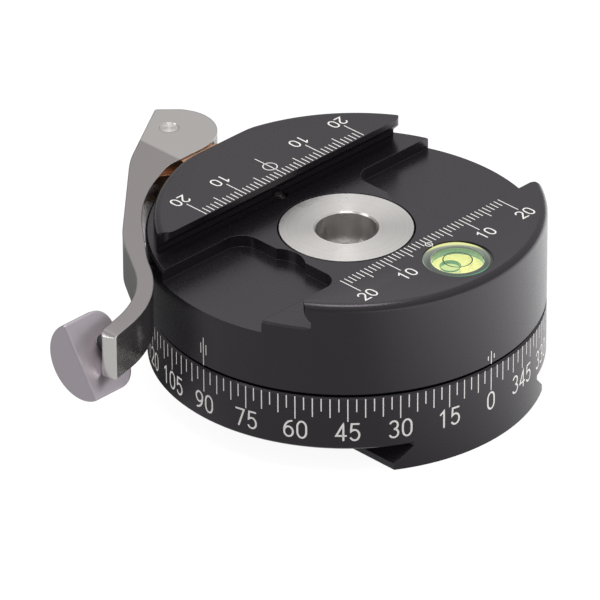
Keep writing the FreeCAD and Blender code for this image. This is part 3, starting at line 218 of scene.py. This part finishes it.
class Paint:
    """Flat painted strokes laid on a surface; place turns two flat coordinates into a point."""

    def __init__(self, place):
        self.place = place
        self.points = []
        self.faces = []

    def add_face(self, corners):
        start = len(self.points)
        self.points.extend(self.place(*corner) for corner in corners)
        self.faces.append(tuple(range(start, start + len(corners))))

    def stroke(self, points, width, closed=False, round_ends=True):
        """A ribbon along a stroke, mitred at its corners."""
        half = width / 2
        points = densified(points + points[:1] if closed else points, STROKE_SPAN)
        if closed:
            points = points[:-1]
        count = len(points)
        left, right = [], []
        for index, point in enumerate(points):
            before = points[index - 1] if closed or index else point
            after = points[(index + 1) % count] if closed or index < count - 1 else point
            first = heading(before, point) or heading(point, after)
            second = heading(point, after) or first
            across = Vector((-first[1] - second[1], first[0] + second[0])).normalized()
            lean = max(LEAST_MITRE, across.x * -first[1] + across.y * first[0])
            offset = across * (half / lean)
            left.append((point[0] + offset.x, point[1] + offset.y))
            right.append((point[0] - offset.x, point[1] - offset.y))
        for index in range(count if closed else count - 1):
            after = (index + 1) % count
            self.add_face([left[index], right[index], right[after], left[after]])
        if round_ends and not closed:
            self.cap(points[0], heading(points[1], points[0]), half)
            self.cap(points[-1], heading(points[-2], points[-1]), half)

    def cap(self, point, direction, radius):
        """A half disc that rounds the end of a stroke."""
        start = math.degrees(math.atan2(direction[1], direction[0])) - 90
        self.add_face(arc(point[0], point[1], radius, radius, start, start + 180, CAP_STEPS))

    def ring(self, x, y, radius, width):
        self.stroke(arc(x, y, radius, radius, 0, 360, RING_STEPS)[:-1], width, closed=True)

    def number(self, text, x, y, height, width, narrowing=1.0):
        """A number centred on a point, its digits upright along the second coordinate."""
        across = height * narrowing
        pitch = (DIGIT_WIDTH + DIGIT_GAP) * across
        start = x - (pitch * len(text) - DIGIT_GAP * across) / 2
        for index, digit in enumerate(text):
            for points, closed in DIGIT_STROKES[digit]:
                placed = [(start + index * pitch + u * across, y + (v - 0.5) * height)
                          for u, v in points]
                self.stroke(placed, width, closed)

    def finished(self, name, material, body):
        """Makes the mesh, which moves with a body."""
        mesh = bpy.data.meshes.new(name)
        mesh.from_pydata([tuple(point) for point in self.points], [], self.faces)
        mesh.materials.append(material)
        piece = bpy.data.objects.new(name, mesh)
        bpy.context.scene.collection.objects.link(piece)
        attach(piece, body)


def near_jaw_place(x, y):
    """First coordinate along +X, second along +Y."""
    return Vector((x, y, JAW_TOP + PAINT_LIFT))


def far_jaw_place(x, y):
    """Read from the lever's side, so both coordinates run backwards."""
    return Vector((-x, -y, JAW_TOP + PAINT_LIFT))


def wall_place(x, z):
    """First coordinate along the wall, anticlockwise from above, from the -Y side."""
    angle = x / BODY_RADIUS - math.pi / 2
    reach = BODY_RADIUS + PAINT_LIFT
    return Vector((reach * math.cos(angle), reach * math.sin(angle), z))


def window_place(x, y):
    """On the level's window, from the level's middle."""
    return Vector((x, y + LEVEL_Y, LEVEL_TOP + PAINT_LIFT))


def mm_scale(place, lip, zero):
    """A scale of millimetres either side of the middle; the marks run away from the lip."""
    zero_length, zero_ring_distance, zero_ring_radius = zero
    paint = Paint(place)
    inner = lip - MM_MARK_INSET
    for number in range(-MM_SCALE_REACH, MM_SCALE_REACH + 1):
        spacing = 10 if number % 10 == 0 else 5 if number % 5 == 0 else 1
        length = MM_MARK_LENGTHS[spacing] if number else zero_length
        x = number * MM
        paint.stroke([(x, inner), (x, inner - length)], MM_MARK_WIDTH, round_ends=False)
        if number and spacing == 10:
            paint.number(str(abs(number)), x, inner - MM_DIGIT_CENTRE, MM_DIGIT_HEIGHT,
                         MM_DIGIT_STROKE)
    paint.ring(0, inner - zero_ring_distance, zero_ring_radius, MM_MARK_WIDTH)
    return paint


def degree_scale():
    """Marks round the ring, numbered every 15 degrees clockwise from above."""
    paint = Paint(wall_place)
    for step in range(round(360 / DEGREE_STEP)):
        degrees = step * DEGREE_STEP
        spacing = 15 if degrees % 15 == 0 else 5 if degrees % 5 == 0 else DEGREE_STEP
        x = -math.radians(degrees) * BODY_RADIUS
        bottom = DEGREE_MARK_TOP - DEGREE_MARK_LENGTHS[spacing]
        paint.stroke([(x, DEGREE_MARK_TOP), (x, bottom)], DEGREE_MARK_WIDTH, round_ends=False)
        if spacing == 15:
            middle = DEGREE_DIGIT_TOP - DEGREE_DIGIT_HEIGHT / 2
            paint.number("%d" % degrees, x, middle, DEGREE_DIGIT_HEIGHT, DEGREE_DIGIT_STROKE,
                         DEGREE_DIGIT_NARROWING)
    return paint


def index_marks():
    """The index marks on the clamp's wall, a long line between two short ones each."""
    paint = Paint(wall_place)
    for degrees, low, high, side, side_low, side_high in INDEX_MARKS:
        x = -math.radians(degrees) * BODY_RADIUS
        lines = [(0, low, high), (-side, side_low, side_high), (side, side_low, side_high)]
        for offset, bottom, top in lines:
            ends = [(x + offset * MM, bottom * MM), (x + offset * MM, top * MM)]
            paint.stroke(ends, DEGREE_MARK_WIDTH, round_ends=False)
    return paint


def level_ring():
    """The ring that is printed over the middle of the level."""
    paint = Paint(window_place)
    paint.ring(0, 0, LEVEL_RING_RADIUS, LEVEL_RING_WIDTH)
    return paint


class NodeTree:
    """Nodes of a material or of the world, made and linked step by step."""

    def __init__(self, tree):
        self.nodes = tree.nodes
        self.links = tree.links

    def node(self, kind, **settings):
        made = self.nodes.new(kind)
        for key, value in settings.items():
            setattr(made, key, value)
        return made

    def ranged(self, value, start, end, low=0.0, high=1.0):
        """Maps a value between start and end to a value between low and high."""
        node = self.node("ShaderNodeMapRange")
        limits = {"From Min": start, "From Max": end, "To Min": low, "To Max": high}
        for socket, number in limits.items():
            node.inputs[socket].default_value = number
        self.links.new(value, node.inputs["Value"])
        return node.outputs["Result"]

    def inverted(self, value):
        return self.ranged(value, 0, 1, 1, 0)

    def graded(self, vector, direction, start, end, low, high):
        """A level that runs from low to high along a direction."""
        along = self.node("ShaderNodeVectorMath", operation="DOT_PRODUCT")
        along.inputs[1].default_value = direction
        self.links.new(vector, along.inputs[0])
        return self.ranged(along.outputs["Value"], start, end, low, high)

    def combined(self, operation, first, second):
        node = self.node("ShaderNodeMath", operation=operation)
        self.links.new(first, node.inputs[0])
        self.links.new(second, node.inputs[1])
        return node.outputs["Value"]

    def shown_as(self, level, shown):
        """A level for the light, and a number for what the camera sees."""
        path = self.node("ShaderNodeLightPath")
        mix = self.node("ShaderNodeMix")
        self.links.new(path.outputs["Is Camera Ray"], mix.inputs[0])
        self.links.new(level, mix.inputs[2])
        mix.inputs[3].default_value = shown
        return mix.outputs[0]


class Surface(NodeTree):
    """A node material built step by step round one principled shader."""

    def __init__(self, name, **values):
        self.name = name
        self.material = bpy.data.materials.new(name)
        self.material.use_nodes = True
        super().__init__(self.material.node_tree)
        self.shader = self.nodes["Principled BSDF"]
        for socket, value in values.items():
            self.shader.inputs[socket.replace("_", " ")].default_value = value
        self.normal = None

    def position(self):
        return self.node("ShaderNodeTexCoord").outputs["Object"]

    def noise(self, scale, detail):
        noise = self.node("ShaderNodeTexNoise")
        noise.inputs["Scale"].default_value = scale
        noise.inputs["Detail"].default_value = detail
        self.links.new(self.position(), noise.inputs["Vector"])
        return noise.outputs["Fac"]

    def spread(self, factor, low, high):
        """Maps a noise, which seldom leaves the middle of its range, to another range."""
        return self.ranged(factor, NOISE_LOW, NOISE_HIGH, low, high)

    def coordinate(self, axis):
        split = self.node("ShaderNodeSeparateXYZ")
        self.links.new(self.position(), split.inputs["Vector"])
        return split.outputs[axis]

    def distance(self, x=0, y=0):
        """Level distance from an upright line."""
        offset = self.node("ShaderNodeVectorMath", operation="SUBTRACT")
        self.links.new(self.position(), offset.inputs[0])
        offset.inputs[1].default_value = (x, y, 0)
        flat = self.node("ShaderNodeVectorMath", operation="MULTIPLY")
        self.links.new(offset.outputs["Vector"], flat.inputs[0])
        flat.inputs[1].default_value = (1, 1, 0)
        reach = self.node("ShaderNodeVectorMath", operation="LENGTH")
        self.links.new(flat.outputs["Vector"], reach.inputs[0])
        return reach.outputs["Value"]

    def levelness(self, start, end):
        """1 on level faces and 0 on walls."""
        split = self.node("ShaderNodeSeparateXYZ")
        geometry = self.node("ShaderNodeNewGeometry")
        self.links.new(geometry.outputs["True Normal"], split.inputs["Vector"])
        size = self.node("ShaderNodeMath", operation="ABSOLUTE")
        self.links.new(split.outputs["Z"], size.inputs[0])
        return self.ranged(size.outputs["Value"], start, end)

    def mixed(self, factor, first, second):
        """A colour between two, each a colour or a socket."""
        mix = self.node("ShaderNodeMix", data_type="RGBA")
        self.links.new(factor, mix.inputs[0])
        for socket, value in ((mix.inputs[6], first), (mix.inputs[7], second)):
            if isinstance(value, tuple):
                socket.default_value = value
            else:
                self.links.new(value, socket)
        return mix.outputs[2]

    def feed(self, socket, value):
        self.links.new(value, self.shader.inputs[socket])
        return self

    def vary_roughness(self, scale, low, high):
        return self.feed("Roughness", self.spread(self.noise(scale, ROUGHNESS_DETAIL), low, high))

    def soften_edges(self, radius):
        bevel = self.node("ShaderNodeBevel", samples=BEVEL_SAMPLES)
        bevel.inputs["Radius"].default_value = radius
        self.normal = bevel.outputs["Normal"]
        return self.feed("Normal", self.normal)

    def blasted(self):
        """A fine grain over the softened edges."""
        bump = self.node("ShaderNodeBump")
        bump.inputs["Strength"].default_value = GRAIN_STRENGTH
        bump.inputs["Distance"].default_value = GRAIN_DEPTH
        self.links.new(self.noise(GRAIN_SCALE, GRAIN_DETAIL), bump.inputs["Height"])
        self.links.new(self.normal, bump.inputs["Normal"])
        return self.feed("Normal", bump.outputs["Normal"])

    def turned(self, dark, light):
        """Fine rings round the Z axis, between two colours, and shine stretched across them."""
        rings = self.node("ShaderNodeTexNoise", noise_dimensions="1D")
        rings.inputs["Scale"].default_value = TURNED_SCALE
        rings.inputs["Detail"].default_value = GRAIN_DETAIL
        self.links.new(self.distance(), rings.inputs["W"])
        self.feed("Base Color", self.mixed(self.spread(rings.outputs["Fac"], 0, 1), dark, light))
        tangent = self.node("ShaderNodeTangent", direction_type="RADIAL", axis="Z")
        return self.feed("Tangent", tangent.outputs["Tangent"])


def lever_surface():
    """Bead-blasted faces with a painted shade on the arm, so brighter round the pivot, and polished
    walls in a lighter grey.
    """
    surface = Surface("titanium_grey_aluminium", Metallic=1.0)
    # The arm's face, past the border, takes a darker grey: a painted shade
    head = surface.ranged(surface.coordinate("X"), LEVER_SHADE_BORDER_X - LEVER_SHADE_BORDER_BLUR,
                          LEVER_SHADE_BORDER_X + LEVER_SHADE_BORDER_BLUR)
    face = surface.mixed(head, LEVER_ARM_PAINTED_SHADE, LEVER_HEAD_COLOUR)
    level = surface.levelness(*LEVER_LEVEL_LIMITS)
    surface.feed("Base Color", surface.mixed(level, LEVER_WALL_COLOUR, face))
    surface.feed("Roughness", surface.ranged(level, 0, 1, 0.2, 0.36))
    return surface.soften_edges(0.35 * MM)


def vial_surface():
    """Clear window over the chamber; the walls glow a painted grey, and the rim is painted dark and
    glows with painted glints.
    """
    surface = Surface("clear_acrylic", Roughness=0.03, IOR=1.49)
    rim = surface.ranged(surface.distance(0, LEVEL_Y), CHAMBER_RADIUS, CHAMBER_RADIUS + RIM_FADE)
    level = surface.levelness(*LEVEL_LIMITS)
    surface.feed("Transmission Weight", surface.combined("MINIMUM", surface.inverted(rim), level))
    surface.feed("Base Color", surface.mixed(rim, WINDOW_COLOUR, RIM_PAINTED_SHADE))
    # The glints are painted glow at fixed places on the rim
    glow = RIM_PAINTED_DIM_GLOW
    for (x, y), start, full, colour in RIM_PAINTED_GLINTS:
        reach = surface.distance(x * MM, LEVEL_Y + y * MM)
        glow = surface.mixed(surface.ranged(reach, start * MM, full * MM), glow, colour)
    surface.feed("Emission Color", surface.mixed(level, VIAL_WALL_PAINTED_GLOW, glow))
    surface.feed("Emission Strength", surface.ranged(rim, 0, 1, 0, RIM_PAINTED_GLOW))
    return surface


def fluid_surface():
    """Clear yellow fluid with painted green walls that glow; the bubble gets a painted dark outline
    and a painted glow, green above and pale below.
    """
    surface = Surface("level_fluid", Roughness=0.03, IOR=1.45, Emission_Strength=1.0)
    level = surface.levelness(*LEVEL_LIMITS)
    reach = surface.distance(BUBBLE_X, LEVEL_Y)
    height = surface.coordinate("Z")
    outside = surface.ranged(reach, BUBBLE_RADIUS, BUBBLE_RADIUS + BUBBLE_EDGE_FADE)
    clear = surface.combined("MINIMUM", level, outside)
    # A painted dark outline round the top of the bubble
    edge = BUBBLE_RADIUS + BUBBLE_OUTLINE
    near_edge = surface.ranged(reach, edge, edge + BUBBLE_OUTLINE_FADE, 1, 0)
    low = CHAMBER_TOP - BUBBLE_OUTLINE_DEPTH
    near_top = surface.ranged(height, low - BUBBLE_OUTLINE_RISE, low)
    outline = surface.combined("MINIMUM", near_edge, near_top)
    tint = surface.mixed(outline, FLUID_COLOUR, BUBBLE_PAINTED_OUTLINE_COLOUR)
    surface.feed("Transmission Weight", clear)
    surface.feed("Base Color", surface.mixed(clear, FLUID_WALL_PAINTED_GREEN, tint))
    # Painted glow on the walls and the bubble: green above, pale deep inside the bubble
    green_end = CHAMBER_TOP - BUBBLE_GREEN_DEPTH
    deep = surface.ranged(height, green_end - BUBBLE_GREEN_FADE, green_end, 1, 0)
    pale = surface.combined("MINIMUM", surface.inverted(outside), deep)
    glow = surface.mixed(pale, FLUID_WALL_PAINTED_GLOW, BUBBLE_PAINTED_PALE_GLOW)
    surface.feed("Emission Color", surface.mixed(clear, glow, (0, 0, 0, 1)))
    return surface


def make_materials():
    """Every material by its name; the names of the record's slots and two paints."""
    surfaces = [
        Surface("anodised_black", Base_Color=(0.0085, 0.0070, 0.0090, 1), IOR=1.5,
                Specular_Tint=(0.98, 0.91, 1.0, 1))
        .vary_roughness(1400, 0.23, 0.29).soften_edges(0.14 * MM).blasted(),
        Surface("satin_aluminium", Base_Color=(0.55, 0.53, 0.52, 1), Metallic=1.0)
        .vary_roughness(900, 0.28, 0.36).soften_edges(0.2 * MM),
        lever_surface(),
        Surface("blasted_aluminium", Base_Color=(0.47, 0.43, 0.47, 1), Metallic=1.0)
        .vary_roughness(1200, 0.34, 0.40).soften_edges(0.3 * MM).blasted(),
        Surface("stainless_steel", Metallic=0.95, Anisotropic=0.88, Anisotropic_Rotation=0.25)
        .turned((0.60, 0.58, 0.565, 1), (0.65, 0.63, 0.615, 1)).vary_roughness(700, 0.27, 0.33),
        Surface("plain_steel", Base_Color=(0.50, 0.49, 0.48, 1), Metallic=1.0)
        .vary_roughness(900, 0.22, 0.3).soften_edges(0.1 * MM),
        Surface("black_steel", Base_Color=(0.02, 0.02, 0.021, 1), Metallic=0.2)
        .vary_roughness(1200, 0.32, 0.42).soften_edges(0.1 * MM),
        Surface("bearing_bronze", Base_Color=(0.55, 0.30, 0.18, 1), Metallic=1.0)
        .vary_roughness(900, 0.3, 0.4).soften_edges(0.15 * MM),
        Surface("bearing_polymer", Base_Color=(0.12, 0.12, 0.125, 1))
        .vary_roughness(900, 0.45, 0.55),
        # The level's yellow base glows: a painted light
        Surface("pale_plastic", Base_Color=(0.90, 0.85, 0.35, 1),
                Emission_Color=(1.0, 0.92, 0.42, 1), Emission_Strength=0.72)
        .vary_roughness(900, 0.45, 0.55),
        vial_surface(),
        fluid_surface(),
        Surface("scale_paint", Base_Color=(0.80, 0.77, 0.75, 1), Roughness=0.6),
        Surface("level_ink", Base_Color=(0.03, 0.06, 0.02, 1), Roughness=0.5),
    ]
    return {surface.name: surface.material for surface in surfaces}


def shading_group():
    """A modifier group that shades curved faces smooth and keeps edges past an angle sharp."""
    group = bpy.data.node_groups.new("smooth_by_angle", "GeometryNodeTree")
    group.interface.new_socket("Geometry", in_out="INPUT", socket_type="NodeSocketGeometry")
    group.interface.new_socket("Geometry", in_out="OUTPUT", socket_type="NodeSocketGeometry")
    group.is_modifier = True
    start = group.nodes.new("NodeGroupInput")
    merge = group.nodes.new("GeometryNodeMergeByDistance")
    merge.inputs["Distance"].default_value = MERGE_DISTANCE
    smooth = group.nodes.new("GeometryNodeSetShadeSmooth")
    smooth.inputs["Shade Smooth"].default_value = True
    sharp = group.nodes.new("GeometryNodeSetShadeSmooth")
    sharp.domain = "EDGE"
    sharp.inputs["Shade Smooth"].default_value = False
    edge_angle = group.nodes.new("GeometryNodeInputMeshEdgeAngle")
    compare = group.nodes.new("FunctionNodeCompare")
    compare.data_type = "FLOAT"
    compare.operation = "GREATER_THAN"
    compare.inputs["B"].default_value = SHARP_ANGLE
    end = group.nodes.new("NodeGroupOutput")
    links = group.links
    links.new(start.outputs[0], merge.inputs["Geometry"])
    links.new(merge.outputs["Geometry"], smooth.inputs["Geometry"])
    links.new(smooth.outputs["Geometry"], sharp.inputs["Geometry"])
    links.new(edge_angle.outputs["Unsigned Angle"], compare.inputs["A"])
    links.new(compare.outputs["Result"], sharp.inputs["Selection"])
    links.new(sharp.outputs["Geometry"], end.inputs[0])
    return group


def dress_frame(frame, materials):
    """Gives every node its material and smooth shading."""
    slots = {entry["node"]: entry["material_slot"] for entry in frame["record"]["subparts"]}
    group = shading_group()
    for name, piece in frame["nodes"].items():
        piece.data.materials.clear()
        piece.data.materials.append(materials[slots[name]])
        modifier = piece.modifiers.new("smooth_shading", "NODES")
        modifier.node_group = group


def paint_marks(materials):
    """The scales, the index marks and the level's ring, each on the body that carries it."""
    paint = materials["scale_paint"]
    mm_scale(near_jaw_place, FIXED_LIP, NEAR_ZERO).finished("near_scale", paint, "clamp")
    mm_scale(far_jaw_place, -MOVING_LIP, FAR_ZERO).finished("far_scale", paint, "jaw")
    degree_scale().finished("degree_scale", paint, "base")
    index_marks().finished("index_marks", paint, "clamp")
    level_ring().finished("level_ring", materials["level_ink"], "clamp")


def surroundings():
    """A room that brightens upwards and to the right; white behind the object."""
    world = bpy.data.worlds.new("studio")
    bpy.context.scene.world = world
    world.use_nodes = True
    tree = NodeTree(world.node_tree)
    direction = tree.node("ShaderNodeTexCoord").outputs["Generated"]
    level = tree.graded(direction, SKY_DIRECTION, SKY_START, SKY_END, SKY_LOW, SKY_HIGH)
    background = tree.nodes["Background"]
    background.inputs["Color"].default_value = (1, 1, 1, 1)
    tree.links.new(tree.shown_as(level, 1.0), background.inputs["Strength"])


def sweep():
    """The floor: white to the camera; the glow it throws on the object is darkest under the lever,
    where a shadow is painted into it.
    """
    bpy.ops.mesh.primitive_plane_add(size=FLOOR_SIZE)
    floor = bpy.context.object
    floor.name = "floor"
    surface = Surface("floor", Base_Color=(FLOOR_SHADE, FLOOR_SHADE, FLOOR_SHADE, 1), Roughness=1.0,
                      Specular_IOR_Level=0.0, Emission_Color=(1, 1, 1, 1))
    across = surface.graded(surface.position(), FLOOR_DIRECTION, FLOOR_START, FLOOR_END,
                            FLOOR_LEFT, FLOOR_RIGHT)
    # A painted shadow in the floor's glow under the lever
    painted_shadow = surface.ranged(surface.distance(*FLOOR_PAINTED_SHADOW), FLOOR_PAINTED_SHADOW_RADIUS, FLOOR_PAINTED_SHADOW_EDGE)
    level = surface.combined("MULTIPLY", across, painted_shadow)
    surface.feed("Emission Strength", surface.shown_as(level, FLOOR_GLOW))
    floor.data.materials.append(surface.material)


def lamps():
    for name, place, target, side, power in LAMPS:
        light = bpy.data.lights.new(name, "AREA")
        light.shape = "SQUARE"
        light.size = side
        light.energy = power
        lamp = bpy.data.objects.new(name, light)
        lamp.location = place
        lamp.rotation_euler = (Vector(target) - Vector(place)).to_track_quat("-Z", "Y").to_euler()
        bpy.context.scene.collection.objects.link(lamp)


def camera():
    data = bpy.data.cameras.new("camera")
    data.lens = CAMERA_LENS
    data.sensor_width = CAMERA_SENSOR
    data.clip_start = CAMERA_NEAR
    data.clip_end = CAMERA_FAR
    view = bpy.data.objects.new("camera", data)
    forward = CAMERA_FORWARD.normalized()
    up = CAMERA_RIGHT.cross(forward).normalized()
    right = forward.cross(up).normalized()
    turn = Matrix((right, up, -forward)).transposed()
    view.matrix_world = Matrix.Translation(CAMERA_PLACE) @ turn.to_4x4()
    bpy.context.scene.collection.objects.link(view)
    bpy.context.scene.camera = view


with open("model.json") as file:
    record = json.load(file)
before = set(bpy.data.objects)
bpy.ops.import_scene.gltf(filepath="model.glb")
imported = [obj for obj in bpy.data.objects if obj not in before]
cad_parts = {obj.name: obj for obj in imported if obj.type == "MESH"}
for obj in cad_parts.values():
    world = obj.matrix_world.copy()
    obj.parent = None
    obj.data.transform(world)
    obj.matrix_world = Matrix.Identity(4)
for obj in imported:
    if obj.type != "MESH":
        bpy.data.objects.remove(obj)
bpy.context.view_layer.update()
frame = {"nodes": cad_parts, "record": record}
materials = make_materials()
dress_frame(frame, materials)
paint_marks(materials)
surroundings()
sweep()
lamps()
camera()
bpy.context.scene.view_settings.view_transform = "Standard"
